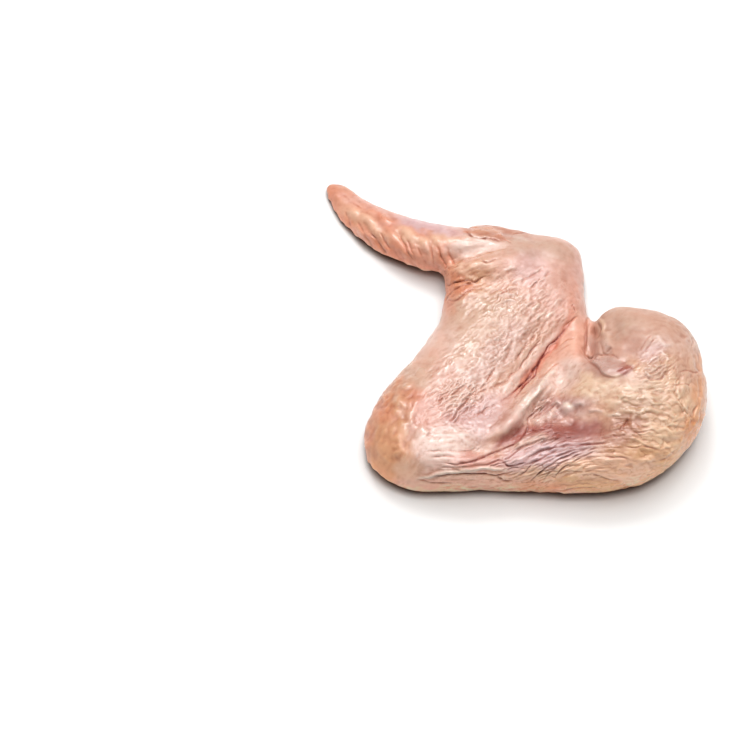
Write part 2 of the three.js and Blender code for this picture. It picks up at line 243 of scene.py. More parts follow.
# The skin's grain: where, which way its folds run, its kind, and its height in mm.
GRAIN = [
    # tip and thumb
    (345, 200, -30, "goose", 0.10),
    (390, 240, -60, "goose", 0.19),
    (425, 255, -60, "goose", 0.19),
    (400, 218, -22, "plain", 0.05),
    (440, 232, -22, "plain", 0.06),
    (485, 231, -5, "goose", 0.10),
    # wrist
    (472, 246, 20, "strand", 0.12),
    (545, 262, 0, "plain", 0.05),
    (578, 270, -60, "goose", 0.12),
    (540, 292, 45, "crepe", 0.13),
    (462, 283, 20, "crepe", 0.22),
    (515, 300, 45, "crepe", 0.18),
    # flat
    (478, 312, 40, "crepe", 0.10),
    (445, 330, 45, "plain", 0.04),
    (468, 350, 40, "crepe", 0.19),
    (455, 372, 38, "crepe", 0.28),
    (485, 378, 40, "crepe", 0.28),
    (438, 402, 35, "crepe", 0.38),
    (500, 352, 45, "crepe", 0.27),
    (525, 332, 48, "crepe", 0.25),
    (545, 312, 50, "crepe", 0.16),
    (425, 362, 40, "plain", 0.05),
    (396, 378, 50, "goose", 0.28),
    (372, 418, 70, "goose", 0.18),
    (365, 448, 90, "goose", 0.14),
    (408, 392, 50, "goose", 0.22),
    (385, 414, 60, "goose", 0.16),
    (485, 412, 35, "crepe", 0.30),
    (505, 398, 45, "strand", 0.20),
    (520, 382, 48, "strand", 0.10),
    # elbow
    (382, 442, 80, "plain", 0.03),
    (404, 446, 85, "goose", 0.34),
    (402, 430, 85, "goose", 0.34),
    (404, 462, 85, "goose", 0.20),
    (384, 468, 70, "plain", 0.03),
    (438, 445, 10, "strand", 0.06),
    (440, 463, -8, "strand", 0.20),
    (462, 481, -3, "strand", 0.22),
    (418, 485, 0, "plain", 0.04),
    # inner bend
    (518, 408, 45, "strand", 0.06),
    (505, 430, 40, "plain", 0.06),
    (546, 408, 45, "strand", 0.40),
    (572, 406, 35, "goose", 0.28),
    (588, 414, 15, "goose", 0.24),
    (582, 430, 0, "goose", 0.12),
    (602, 430, 5, "strand", 0.20),
    (520, 452, 22, "strand", 0.46),
    (552, 450, 16, "strand", 0.46),
    (566, 461, 32, "strand", 0.46),
    (534, 474, 40, "strand", 0.44),
    (520, 488, 5, "strand", 0.14),
    # drumette
    (580, 486, 0, "strand", 0.10),
    (606, 468, -3, "goose", 0.36),
    (572, 474, 8, "strand", 0.24),
    (640, 464, -8, "goose", 0.38),
    (650, 398, 0, "goose", 0.46),
    (632, 430, -5, "goose", 0.48),
    (665, 425, -10, "goose", 0.46),
    (668, 446, -20, "goose", 0.40),
    (700, 395, 80, "goose", 0.34),
    (690, 452, 50, "goose", 0.14),
    (690, 350, 60, "goose", 0.22),
    (588, 382, 20, "goose", 0.22),
    (615, 393, 10, "goose", 0.26),
    (575, 348, 50, "plain", 0.05),
    (566, 376, 55, "crepe", 0.16),
    (552, 384, 55, "strand", 0.10),
    # cut shoulder
    (630, 322, 0, "plain", 0.04),
    (678, 330, -40, "goose", 0.12),
    (640, 343, 20, "plain", 0.07),
    (654, 364, 35, "crepe", 0.44),
    (606, 362, 0, "plain", 0.03),
]
GRAIN_REACH_PX = 16.0
# The bumps are part cells and part soft puffs, which are this long and wide in mm, and this steep.
PUFF_SIZE = (2.4, 1.3)
PUFF_SHARE = 0.5
PUFF_STEEP = 1.6
# Broad folds lie under the grain: how long and wide they are in mm, and their share of its height.
BROAD_FOLDS = {
    "crepe": ((11.0, 2.6), 0.5),
    "strand": ((16.0, 2.4), 0.5),
    "goose": ((6.5, 3.4), 0.7),
    "plain": ((9.0, 5.0), 1.0),
}

# Creases: the line through the photograph, how deep and how wide in mm, how far the skin puffs up on
# the left and on the right of the line's way, the tone of its floor and how strongly it shows. The darker
# floor tones are partly the skin's own colour and partly painted shade.
CREASES = [
    # tip
    ([(343, 194), (350, 200)], 0.2, 0.6, 0.1, 0.1, "burnt", 0.3),
    ([(353, 202), (358, 206), (363, 209)], 0.25, 0.5, 0.1, 0.1, "burnt", 0.5),
    ([(346, 211), (348, 219), (351, 227)], 0.35, 0.6, 0.1, 0.1, "burnt", 0.5),
    ([(356, 218), (362, 229), (368, 240), (375, 250)], 0.25, 0.6, 0.1, 0.2, "burnt", 0.6),
    ([(370, 232), (376, 240), (383, 249), (390, 257)], 0.45, 0.6, 0.2, 0.2, "brown", 0.5),
    ([(380, 232), (386, 242), (392, 252)], 0.4, 0.6, 0.2, 0.1, "burnt", 0.6),
    ([(397, 232), (403, 243), (410, 254), (416, 262)], 0.35, 0.5, 0.2, 0.1, "burnt", 0.7),
    ([(407, 240), (412, 250), (418, 262)], 0.3, 0.6, 0.1, 0.1, "burnt", 0.4),
    ([(417, 246), (422, 256), (427, 266)], 0.25, 0.5, 0.1, 0.1, "burnt", 0.6),
    ([(428, 238), (431, 250), (435, 266)], 0.3, 0.5, 0.1, 0.1, "burnt", 0.5),
    ([(437, 246), (442, 257), (447, 270)], 0.45, 0.5, 0.3, 0.2, "burnt", 0.7),
    ([(447, 248), (452, 258), (455, 266)], 0.3, 0.5, 0.1, 0.1, "burnt", 0.6),
    # thumb
    ([(463, 231), (472, 235), (484, 238), (494, 240), (502, 241)], 0.6, 0.3, 0.3, 0.0, "brown", 0.9),
    ([(508, 239), (514, 235), (526, 233), (540, 232)], 0.25, 0.3, 0.1, 0.1, "brown", 0.5),
    ([(498, 237), (504, 240), (513, 243)], 0.2, 0.3, 0.1, 0.1, "burnt", 0.5),
    # wrist
    ([(446, 273), (460, 262), (476, 256), (494, 251), (511, 247)], 0.3, 0.45, 0.0, 0.3, "tan", 0.6),
    ([(480, 258), (484, 261.5), (490, 262), (497, 259)], 0.4, 0.3, 0.0, 0.2, "brown", 0.9),
    ([(445, 287), (458, 282), (470, 281), (475, 282), (482, 278), (489, 275)],
     0.6, 0.3, 0.5, 0.5, "brown", 0.9),
    ([(444, 303), (449, 295), (459, 288), (468, 285), (476, 283)], 0.5, 0.3, 0.4, 0.3, "brown", 0.7),
    ([(446, 300), (452, 300), (457, 299), (462, 295), (470, 290), (477, 287)],
     0.35, 0.3, 0.2, 0.1, "brown", 0.6),
    ([(520, 282), (532, 275), (545, 268)], 0.3, 0.35, 0.15, 0.15, "rose", 0.5),
    ([(528, 290), (540, 280), (552, 270)], 0.3, 0.35, 0.15, 0.15, "rose", 0.5),
    ([(496, 296), (510, 290), (524, 288)], 0.3, 0.35, 0.15, 0.15, "groove", 0.4),
    ([(571, 304), (574, 307), (576, 312)], 0.3, 0.4, 0.1, 0.1, "groove", 0.7),
    ([(562, 330), (570, 322), (579, 315)], 0.4, 0.4, 0.1, 0.1, "coral", 0.8),
    # flat
    ([(431, 404), (450, 394), (470, 384)], 0.4, 0.35, 0.1, 0.1, "groove", 0.6),
    ([(444, 426), (453, 418), (462, 406), (474, 390)], 0.5, 0.35, 0.2, 0.2, "brown", 0.6),
    ([(452, 424), (462, 415), (470, 404)], 0.4, 0.35, 0.1, 0.1, "brown", 0.5),
    ([(474, 416), (486, 409), (498, 404)], 0.4, 0.35, 0.1, 0.1, "groove", 0.5),
    ([(470, 397), (490, 388), (512, 379)], 0.4, 0.35, 0.1, 0.1, "groove", 0.5),
    ([(482, 387), (490, 376), (496, 364)], 0.4, 0.35, 0.1, 0.1, "groove", 0.6),
    ([(500, 386), (516, 371), (530, 354), (541, 338)], 0.45, 0.4, 0.2, 0.2, "groove", 0.7),
    ([(512, 362), (526, 347), (538, 330)], 0.3, 0.35, 0.1, 0.1, "groove", 0.5),
    # deep red crease
    ([(577, 314), (566, 328), (556, 339), (549, 346), (543, 355), (538, 364), (533, 370), (528, 378),
      (520, 386), (510, 395), (503, 400), (494, 405)], 0.5, 0.3, 0.2, 0.1, "blood", 1.0),
    ([(553, 350), (545, 355), (539, 362), (537, 370), (533, 378), (526, 384), (521, 390), (515, 397),
      (511, 402)], 0.5, 0.3, 0.1, 0.1, "blood", 0.9),
    ([(543, 357), (538, 364), (534, 370), (529, 377), (521, 385), (515, 391)],
     0.4, 0.5, 0.1, 0.1, "clot", 1.0),
    ([(532, 371), (534, 376), (529, 380)], 0.3, 0.25, 0.1, 0.1, "blood", 0.8),
    ([(521, 383), (524, 387), (519, 391)], 0.3, 0.25, 0.1, 0.1, "blood", 0.7),
    ([(576, 336), (566, 341), (556, 348)], 0.25, 0.3, 0.1, 0.1, "coral", 0.6),
    ([(572, 344), (562, 349), (553, 356)], 0.25, 0.3, 0.1, 0.1, "coral", 0.5),
    ([(560, 362), (552, 368), (545, 376)], 0.2, 0.3, 0.1, 0.1, "coral", 0.4),
    # inner bend
    ([(548, 403), (543, 407), (537, 411), (529, 418), (527, 428), (520, 438), (508, 446), (494, 453),
      (480, 458), (470, 462), (455, 464), (438, 462)], 0.6, 0.4, 0.5, 0.3, "maroon", 0.9),
    ([(526, 431), (534, 430), (546, 428), (556, 423)], 0.5, 0.35, 0.4, 0.1, "maroon", 0.8),
    ([(537, 418), (545, 409), (554, 401)], 0.2, 0.3, 0.15, 0.15, "plum", 0.5),
    ([(543, 420), (550, 411), (559, 403)], 0.2, 0.3, 0.15, 0.15, "plum", 0.5),
    ([(612, 437), (606, 441), (598, 443), (586, 444), (574, 445), (560, 447), (548, 449), (540, 452),
      (528, 457), (517, 461)], 0.6, 0.35, 0.3, 0.2, "maroon", 0.9),
    ([(602, 436), (592, 439), (582, 441), (568, 441), (552, 445)], 0.3, 0.3, 0.2, 0.1, "plum", 0.8),
    ([(560, 448), (548, 455), (540, 459), (530, 464), (521, 464), (510, 466), (505, 464), (499, 460),
      (487, 465), (478, 467)], 0.6, 0.35, 0.3, 0.3, "maroon", 0.9),
    ([(530, 443), (520, 449), (508, 458), (499, 463)], 0.4, 0.35, 0.3, 0.2, "maroon", 0.7),
    ([(424, 477), (441, 476), (459, 473.5), (479, 473.5), (495, 475), (512, 473)],
     0.7, 0.35, 0.5, 0.1, "maroon", 0.9),
    ([(496, 475), (501, 479), (507, 481), (515, 479)], 0.4, 0.3, 0.1, 0.1, "brown", 0.6),
    ([(415, 478), (425, 481), (439, 483), (456, 482)], 0.35, 0.3, 0.1, 0.1, "groove", 0.7),
    ([(424, 452), (440, 451), (458, 452), (478, 449)], 0.25, 0.35, 0.15, 0.15, "rose", 0.6),
    ([(428, 457), (444, 457), (462, 457), (474, 455)], 0.25, 0.35, 0.15, 0.15, "rose", 0.6),
    ([(440, 468), (455, 467), (468, 466)], 0.3, 0.3, 0.15, 0.15, "rose", 0.6),
    ([(604, 445), (590, 450), (574, 456), (560, 464), (548, 474), (540, 484)],
     0.45, 0.28, 0.2, 0.15, "umber", 0.9),
    ([(600, 449), (586, 455), (572, 462), (560, 471), (552, 481)], 0.4, 0.28, 0.2, 0.15, "umber", 0.8),
    ([(594, 446), (578, 451), (562, 458), (548, 466), (536, 476), (527, 485)],
     0.45, 0.28, 0.2, 0.15, "umber", 0.9),
    ([(584, 447), (568, 452), (552, 459), (540, 466), (528, 474)], 0.4, 0.28, 0.2, 0.15, "umber", 0.8),
    ([(540, 459), (530, 467), (520, 476)], 0.35, 0.28, 0.2, 0.1, "grape", 0.6),
    ([(536, 402), (545, 400), (556, 394)], 0.25, 0.28, 0.2, 0.1, "grape", 0.3),
    ([(530, 414), (536, 408), (545, 403), (552, 398)], 0.3, 0.28, 0.2, 0.1, "plum", 0.6),
    # drumette
    ([(599, 437), (606, 438), (614, 437), (622, 436)], 0.4, 0.3, 0.1, 0.1, "brown", 0.7),
    ([(619, 428), (624, 425), (627, 422), (629, 418)], 0.6, 0.6, 0.1, 0.1, "brown", 0.7),
    ([(604, 456), (612, 458), (622, 458), (630, 461)], 0.25, 0.4, 0.1, 0.1, "groove", 0.4),
    ([(628, 431), (638, 433), (650, 431), (658, 434)], 0.3, 0.4, 0.2, 0.1, "groove", 0.5),
    ([(620, 444), (634, 447), (646, 446), (660, 451)], 0.3, 0.4, 0.2, 0.1, "groove", 0.5),
    ([(650, 463), (661, 460), (672, 453)], 0.25, 0.4, 0.1, 0.1, "groove", 0.4),
    ([(548, 489), (565, 490), (585, 488), (605, 490)], 0.35, 0.35, 0.2, 0.1, "burnt", 0.5),
    ([(590, 472), (606, 478), (622, 480)], 0.3, 0.3, 0.15, 0.1, "groove", 0.4),
    ([(678, 374), (686, 371), (694, 372), (701, 370)], 0.25, 0.45, 0.15, 0.1, "groove", 0.5),
    ([(668, 384), (676, 386), (684, 384), (692, 385)], 0.2, 0.4, 0.15, 0.1, "groove", 0.4),
    # cut shoulder
    ([(600, 338), (601, 346), (603, 352), (608, 354.5), (614, 352)], 0.3, 0.5, 0.0, 0.15, "dusk", 0.5),
    ([(606, 353), (609, 350), (612, 347)], 0.2, 0.4, 0.0, 0.1, "umber", 0.5),
    ([(596, 320), (599, 327), (599, 334), (598, 341)], 0.4, 0.5, 0.1, 0.1, "dusk", 0.6),
    ([(590, 356), (600, 355), (612, 356), (621, 360)], 0.3, 0.35, 0.0, 0.1, "dusk", 0.6),
    ([(615, 373), (619, 370), (624, 367), (630, 365)], 0.4, 0.45, 0.1, 0.1, "blood", 0.6),
    ([(638, 352), (645, 342), (653, 335)], 0.2, 0.3, 0.15, 0.1, "groove", 0.5),
    ([(642, 354), (650, 344), (657, 338)], 0.2, 0.3, 0.15, 0.1, "groove", 0.5),
    ([(643, 373), (650, 379), (661, 379), (667, 371)], 0.3, 0.3, 0.1, 0.15, "grape", 0.5),
]

# Ridges: the line through the photograph, how high and how wide in mm, their tone and how strongly it
# shows. Their pale and ivory tones are painted highlights along the ridge tops.
RIDGES = [
    ([(412, 479), (424, 477.5), (436, 475.5), (449, 472.5), (467, 469.5), (483, 467.5), (500, 468.5),
      (514, 471)], 0.7, 0.52, "ivory", 1.0),
    ([(556, 374), (543, 385), (531, 398), (520, 411), (509, 424), (499, 434)], 0.8, 1.5, "pale", 0.6),
    ([(557, 369), (549, 376), (541, 384), (535, 390)], 0.3, 0.5, "ivory", 0.8),
    ([(543, 388), (536, 395), (529, 402), (522, 410)], 0.3, 0.45, "ivory", 0.8),
    ([(532, 391), (525, 399), (518, 408)], 0.25, 0.4, "ivory", 0.7),
    ([(554, 384), (545, 396), (536, 407)], 0.4, 0.8, "pink", 0.4),
    ([(566, 326), (552, 339), (540, 352), (528, 366), (514, 380), (498, 394)], 0.4, 1.1, "pale", 0.6),
    ([(531, 426), (538, 421), (549, 418), (556, 412)], 0.5, 0.9, "pale", 0.5),
    ([(514, 447), (524, 441), (536, 438), (550, 437)], 0.5, 1.1, "pale", 0.5),
    ([(508, 462), (520, 459), (532, 452), (545, 446)], 0.4, 0.8, "pale", 0.4),
    ([(532, 424), (540, 423), (548, 417), (556, 414)], 0.5, 0.7, "pale", 0.7),
    ([(599, 316), (603, 326), (602, 336)], 0.4, 0.6, "sand", 0.7),
    ([(607, 330), (607.5, 341), (609, 350)], 0.5, 1.4, "skin", 0.4),
    ([(468, 230), (478, 229), (492, 231), (506, 234)], 0.7, 1.0, "apricot", 0.3),
    ([(563, 411), (567, 409), (571, 408)], 0.2, 1.1, "pale", 0.9),
    ([(553, 407), (558, 403), (563, 403)], 0.4, 0.5, "pale", 0.8),
    ([(540, 409), (546, 403), (551, 401)], 0.4, 0.5, "pale", 0.8),
    ([(575, 405), (580, 404), (585, 406)], 0.2, 0.5, "pale", 0.7),
    ([(548, 416), (554, 411), (559, 409)], 0.4, 0.45, "pale", 0.8),
    ([(560, 420), (568, 419), (574, 421)], 0.25, 0.5, "pink", 0.7),
    ([(588, 411), (597, 410), (606, 412)], 0.3, 0.5, "pale", 0.6),
    ([(606, 417), (614, 415), (622, 416)], 0.25, 0.5, "ivory", 0.5),
    ([(642, 357), (646, 354), (650, 354)], 0.3, 0.35, "pale", 0.6),
    ([(650, 361), (655, 358), (660, 359)], 0.3, 0.35, "pale", 0.6),
    ([(645, 370), (648, 375), (653, 377)], 0.25, 0.35, "pale", 0.6),
    ([(660, 350), (665, 355), (668, 361)], 0.25, 0.35, "pale", 0.6),
    ([(657, 334), (661, 341), (666, 347)], 0.25, 0.6, "pale", 0.6),
    # wrist
    ([(497, 297), (504, 294), (511, 294.5), (516, 292)], 0.3, 0.35, "pale", 0.9),
    ([(503, 303), (510, 300), (516, 301)], 0.3, 0.3, "pale", 0.9),
    ([(512, 283), (519, 279), (525, 279)], 0.25, 0.3, "pale", 0.8),
    ([(530, 287), (534, 282), (540, 281), (545, 275)], 0.3, 0.3, "pale", 0.9),
    ([(535, 273), (539, 270), (545, 268)], 0.25, 0.3, "pale", 0.7),
    ([(517, 308), (523, 304), (528, 305), (533, 301)], 0.3, 0.3, "pale", 0.8),
    ([(531, 311), (536, 307), (539, 302)], 0.35, 0.32, "ivory", 0.8),
    ([(537, 321), (541, 315), (546, 312)], 0.35, 0.32, "ivory", 0.8),
    ([(547, 319), (550, 314), (555, 311)], 0.35, 0.35, "ivory", 0.8),
    ([(553, 306), (557, 301), (563, 299)], 0.3, 0.4, "pale", 0.7),
    ([(537, 295), (541, 291), (546, 290.5)], 0.3, 0.3, "pale", 0.8),
    ([(503, 271), (510, 268), (517, 268)], 0.25, 0.4, "pale", 0.6),
]

# Rounded lumps and hollows: where, how far they reach across and down in px, their turn, and their height
# in mm.
LUMPS = [
    # tip
    (336, 197, 3, 2.5, 0, 0.35),
    (341, 201, 2.5, 2, 0, 0.25),
    (368, 220, 4, 3, -40, 0.6),
    (384, 219, 4, 3, -40, 0.5),
    (374, 212, 4, 3, 0, 0.35),
    (376, 229, 5, 3, -50, 0.5),
    (393, 238, 6, 4, -60, 0.5),
    (410, 236, 6, 3.5, -50, 0.6),
    (403, 251, 7, 3, -60, 0.5),
    (413, 255, 7, 3, -60, 0.45),
    (426, 246, 6, 3, -60, 0.55),
    (438, 241, 5, 3, -60, 0.5),
    (364, 233, 5, 3, -55, 0.5),
    (355, 214, 5, 3, -50, 0.4),
    # inner bend
    (582, 430, 20, 8, 0, -0.8),
    (512, 424, 8, 6, 40, 0.8),
    (511, 439, 14, 4, 32, -0.5),
    (567, 409, 4.5, 4, 0, 0.7),
    (558, 402, 3, 2.5, 0, 0.5),
    (579, 403, 3.5, 3, 0, 0.35),
    (556, 436, 5, 2.2, 20, 0.3),
    (626, 424, 3, 3, 0, -0.6),
    (470, 476, 4, 2, 10, 0.4),
    (492, 447, 4, 2.5, 30, 0.4),
    (497, 432, 4, 3, 30, 0.35),
    # elbow
    (373, 412, 4, 5, 60, 0.5),
    (395, 430, 3, 3, 0, 0.35),
    (398, 438, 3, 3, 0, 0.35),
    (405, 431, 3, 3, 0, 0.3),
    (412, 412, 4, 3, 20, 0.4),
    (416, 404, 5, 3, 20, 0.45),
    (411, 422, 4, 3, 20, 0.35),
    (398, 446, 3, 2.5, 0, 0.35),
    (403, 452, 3, 2.5, 0, 0.35),
    (396, 454, 3, 2.5, 0, 0.3),
    (402, 424, 3, 2.5, 0, 0.3),
    (388, 416, 4, 3, 50, 0.3),
    (399, 400, 4, 3, 50, 0.4),
    (407, 386, 4, 3, 50, 0.35),
    (396, 412, 3, 2.5, 0, 0.3),
    (384, 398, 4, 4, 50, 0.45),
    (397, 381, 4, 4, 50, 0.35),
    (410, 362, 4, 4, 50, 0.35),
    (366, 428, 3, 5, 80, 0.4),
    (365, 446, 3, 5, 90, 0.35),
    (372, 468, 4, 4, -50, 0.35),
    # cut shoulder
    (606, 365, 13, 7, 0, 0.9),
    (592, 331, 5, 5, 0, -0.7),
    (609, 352, 1.8, 1.6, 0, -0.25),
    (656, 369, 8, 6, 20, 0.3),
    (632, 350, 8, 10, 0, -0.4),
]

# The skin's cut edge round the shoulder: the skin lies on its left, the muscle on its right. The step
# between them and half the width of its slope are in mm. It is full near the line, fades out to either
# side, and gets less between these shares of its length. A line of this tone runs beside it.
RIM = [(588, 318), (587, 330), (586.5, 345), (586, 354), (590, 361), (597, 368), (603, 374), (609, 376.5),
       (616, 376.5), (623, 374), (629, 369)]
RIM_STEP = 0.8
RIM_WIDTH = 0.35
RIM_FULL_PX = 3.0
RIM_REACH_PX = 14.0
RIM_END = (0.5, 0.8)
RIM_END_LESS = 0.5
RIM_TONE = "brown"
RIM_TONE_AWAY_PX = 1.0
RIM_TONE_STRENGTH = 0.45

# A ridge or crease reaches this many of its widths to either side, and fades in and out over this share of
# its length.
RIDGE_REACH = 4
RIDGE_TAPER = 0.2
CREASE_REACH = 6
CREASE_TAPER = 0.25
# The shape of a crease's floor, of the lips beside it and of the tone along it, partly painted shade,
# counted in its own widths.
FLOOR_NARROW = 1.2
FLOOR_POWER = 1.4
LIP_GAIN = 1.6
LIP_REACH = 1.8
FLOOR_TONE_REACH = 0.85
# Creases, ridges and lumps wander from their places by about this many px, in humps this wide in mm.
WANDER_PX = 1.2
WANDER_PERIOD = 4.0

# All the grain's heights are multiplied by this.
RELIEF_GAIN = 1.5
# The height in mm of the bumps on the sides that the photograph doesn't show.
FAR_GRAIN = 0.38
# The grain rises and falls about this share of its full height.
FOLD_MIDDLE = 0.45
# The places of the grain are bent by this many mm, in humps this wide in mm.
WARP = 0.5
WARP_PERIOD = 3.5
# The grain's direction is blended from this many fixed ones.
GRAIN_TURNS = 12
# The layers of a net, which are coarse ridges, fine ones, and gaps that break them: how large they are
# beside the kind's own size, how high or deep, how thin, and their seed.
NETS = {
    "crepe": [(1.0, 0.75, 3.0, 107), (0.6, 0.35, 3.0, 157), (1.2, -0.5, 9.0, 182)],
    "strand": [(1.0, 0.75, 2.0, 207), (0.6, 0.35, 2.0, 257), (1.2, -0.5, 9.0, 282)],
}
# Puffed cells: how far they turn from the grain in radians, how their length, width and height vary, how
# high and steep their dome is, how wide the groove round it, and how much of the height is the dome.
CELL_TURN = 0.35
CELL_LENGTHS = (0.7, 1.5)
CELL_WIDTHS = (0.75, 1.3)
CELL_HEIGHTS = (0.35, 1.3)
DOME_TOP = 1.1
DOME_FALL = 0.8
GROOVE_WIDE = 0.8
CELL_DOME = 0.65
# How their middles are chosen: how many vertices are tried, how near two may lie, as a squared share of a
# cell, and the step in mm of the grid that finds them. A vertex looks at this many of the nearest.
SEED_TRIES = 40000
SEED_CLEARANCE = 0.5
SEED_GRID = 2.0
NEIGHBOURS = 12

# Layers of noise: how strong each is, how wide its humps are in mm, and its seed. They vary the depth of
# creases about their usual share and the height of the grain, each within limits, raise the skin by so
# many mm, mottle its colour, and move the zones' edges by so many px.
CREASE_VARIES = [(0.7, 2.2, 63)]
CREASE_USUAL = 0.8
CREASE_LIMITS = (0.2, 1.3)
GRAIN_VARIES = [(0.5, 8.0, 21), (0.4, 3.5, 22)]
GRAIN_LIMITS = (0.3, 1.7)
UNEVEN = [(0.09, 5.0, 31), (0.04, 2.4, 33), (0.03, 1.3, 32)]
MOTTLE = [(1.0, 6.0, 41), (0.6, 2.6, 42)]
MOTTLE_TINT = np.array([0.015, 0.05, 0.055])
STRAY_ACROSS = [(4.0, 7.0, 43), (2.0, 2.5, 45)]
STRAY_DOWN = [(4.0, 7.0, 44), (2.0, 2.5, 46)]
# The seeds of the other noises. The grained ones also use the numbers that follow theirs.
SEEDS = {"cells": 7, "plain": 307, "broad": 407, "puff": 507, "warp": (11, 12, 13), "wander": (61, 62)}

# How far the skin faces the camera is 1 straight at it and -1 away from it. Between the first two values
# it comes into what the photograph shows, and between the next two into what it hides.
SEEN = (0.05, 0.35)
UNSEEN = (0.1, -0.3)
# A zone's colour starts and is full at these distances from its middle, where 1 is the zone's edge.
ZONE_EDGE = (1.5, 0.5)
# These tones stay on what the photograph shows.
DEEP_TONES = ("scarlet", "maroon", "plum", "blood", "umber", "grape", "brown", "amber")
# What lies this many mm below or above its surroundings is a full groove or crest. The surroundings are
# worked out in so many rounds.
HOLLOW_DEPTH = 0.10
HOLLOW_ROUNDS = 12
# Painted shade and highlight: a groove of the relief takes this share of the skin's red, green and blue,
# and a crest this one.
GROOVE_PAINTED_SHADE = np.array([0.76, 0.62, 0.56])
CREST_PAINTED_HIGHLIGHT = np.array([1.08, 1.20, 1.24])
GROOVE_STRENGTH = 0.9
CREST_STRENGTH = 0.8
# On the sides that the photograph doesn't show, the painted shade in grooves shows less by this share.
FAR_GROOVE_LESS = 0.5
# Painted light: the light comes from overhead, so the steeper the skin is, the paler it is laid on to make
# up for the shade that it gets, by this much at most: all of it where it faces the front, this share where
# it faces neither way, and the least at the back. Slopes are evened out in so many rounds.
STEEP_PAINTED_LIGHT = np.array([1.0, 0.88, 0.78])
STEEP_SIDEWAYS = 0.35
STEEP_LEAST = 0.1
SLOPE_ROUNDS = 20
# Painted shade where the skin turns under right above the table: how far its normal points down where this
# starts and is full, up to what height in mm, and the share that it takes of the colour.
UNDER_TURN = (-0.25, -0.6)
UNDER_HEIGHT = 9.0
UNDER_PAINTED_SHADE = np.array([0.40, 0.28, 0.20])

# The skin's roughness, and by how much a crest is wetter than that.
ROUGHNESS = 0.38
CREST_GLOSS = 0.15
# Where else the skin is wetter or drier: where, how far it reaches across and down in px, its turn, and
# the roughness it adds.
WETNESS = [
    (475, 246, 20, 9, 15, -0.08),
    (530, 298, 30, 26, 0, -0.12),
    (455, 385, 40, 40, 0, -0.08),
    (440, 450, 24, 20, 0, -0.06),
    (555, 406, 34, 14, 20, -0.14),
    (620, 400, 30, 20, 0, -0.06),
    (650, 430, 44, 40, 0, -0.17),
    (656, 366, 16, 14, 0, -0.10),
    (600, 468, 50, 12, 0, -0.12),
    (640, 325, 34, 18, 0, 0.12),
    (586, 430, 24, 11, 0, 0.25),
    (566, 376, 20, 12, 0, 0.10),
    (630, 378, 20, 8, 0, 0.10),
    (378, 440, 16, 30, 0, 0.06),
    (545, 258, 20, 16, 0, 0.08),
]

# The skin curves in where it meets the table: how far, and from what height, in mm.
TUCK = 3.0
TUCK_HEIGHT = 3.5
# The skin sags towards the table below this height in mm, and the less the higher it is.
SAG_HEIGHT = 18.0
SAG_POWER = 1.5
# The flat faces on the table: how high they may lie, the distance between their inner points, the share of
# it that these keep from the rim, and how many times they are evened out after the rim has moved.
ON_TABLE = 0.01
BASE_STEP = 2.5
BASE_GAP = 0.6
BASE_ROUNDS = 40

# The tint of the fine blotches in the skin, the table's white, and the shadow painted on it right by the
# wing, all as linear light.
BLOTCH = (0.93, 0.84, 0.80, 1)
WHITE = (0.785, 0.785, 0.78, 1)
PAINTED_CONTACT_SHADOW = (0.20, 0.14, 0.11, 1)
# How far the painted shadow reaches, and half the table's width, in metres.
PAINTED_SHADOW_REACH = 0.0035
TABLE = 30.0
# The soft lights: where they hang and how wide they are in metres, and their power in watts.
LIGHTS = {
    "window": ((-0.15, 0.52, 0.84), 0.27, 3.0),
    "lamp": ((0.22, 0.50, 0.84), 0.12, 0.8),
}
# The studio's soft light, dim at the horizon and bright overhead, and how quickly it fades between them.
HORIZON = 0.03
ZENITH = 4.55
FADE = 6.0
# The way to its brightest part: overhead, and a little behind the wing.
BRIGHTEST = (0.0, 0.15, 0.99)
# How bright the backdrop looks past the table's far edge.
BACKDROP = 0.84


def smoothstep(low, high, value):
    share = np.clip((value - low) / (high - low), 0.0, 1.0)
    return share * share * (3 - 2 * share)


def linear(tone):
    """A tone of the table as linear light."""
    value = np.array(TONES[tone]) / 255.0
    return TONE_SHARE * np.where(value <= 0.04045, value / 12.92, ((value + 0.055) / 1.055) ** 2.4)


def to_pixels(points):
    """Where points in mm fall in the photograph."""
    away = points - CAMERA
    depth = away @ VIEW_FORWARD
    across = IMAGE / 2 + FOCAL_PX * (away @ VIEW_RIGHT) / depth
    down = IMAGE / 2 - FOCAL_PX * (away @ VIEW_UP) / depth
    return np.stack([across, down], axis=1)


def noise(points, period, seed):
    """Smooth noise, mostly from -1 to 1, whose humps are about a period across."""
    cell = points / period
    whole = np.floor(cell).astype(int)
    part = cell - whole
    fade = part ** 3 * (part * (part * 6 - 15) + 10)
    whole -= whole.min(axis=0)
    slopes = np.random.default_rng(seed).normal(size=tuple(whole.max(axis=0) + 2) + (3,))
    slopes /= np.linalg.norm(slopes, axis=-1, keepdims=True)
    total = np.zeros(len(points))
    for corner in np.ndindex(2, 2, 2):
        weight = np.ones(len(points))
        for axis in range(3):
            weight *= fade[:, axis] if corner[axis] else 1 - fade[:, axis]
        slope = slopes[tuple((whole + corner).T)]
        total += weight * (slope * (part - corner)).sum(axis=1)
    return 2.0 * total


def noises(points, period, seeds):
    """Smooth noises side by side."""
    return np.stack([noise(points, period, seed) for seed in seeds], axis=1)


def layered(points, layers):
    """Layers of smooth noise on top of one another."""
    return sum(strength * noise(points, period, seed) for strength, period, seed in layers)


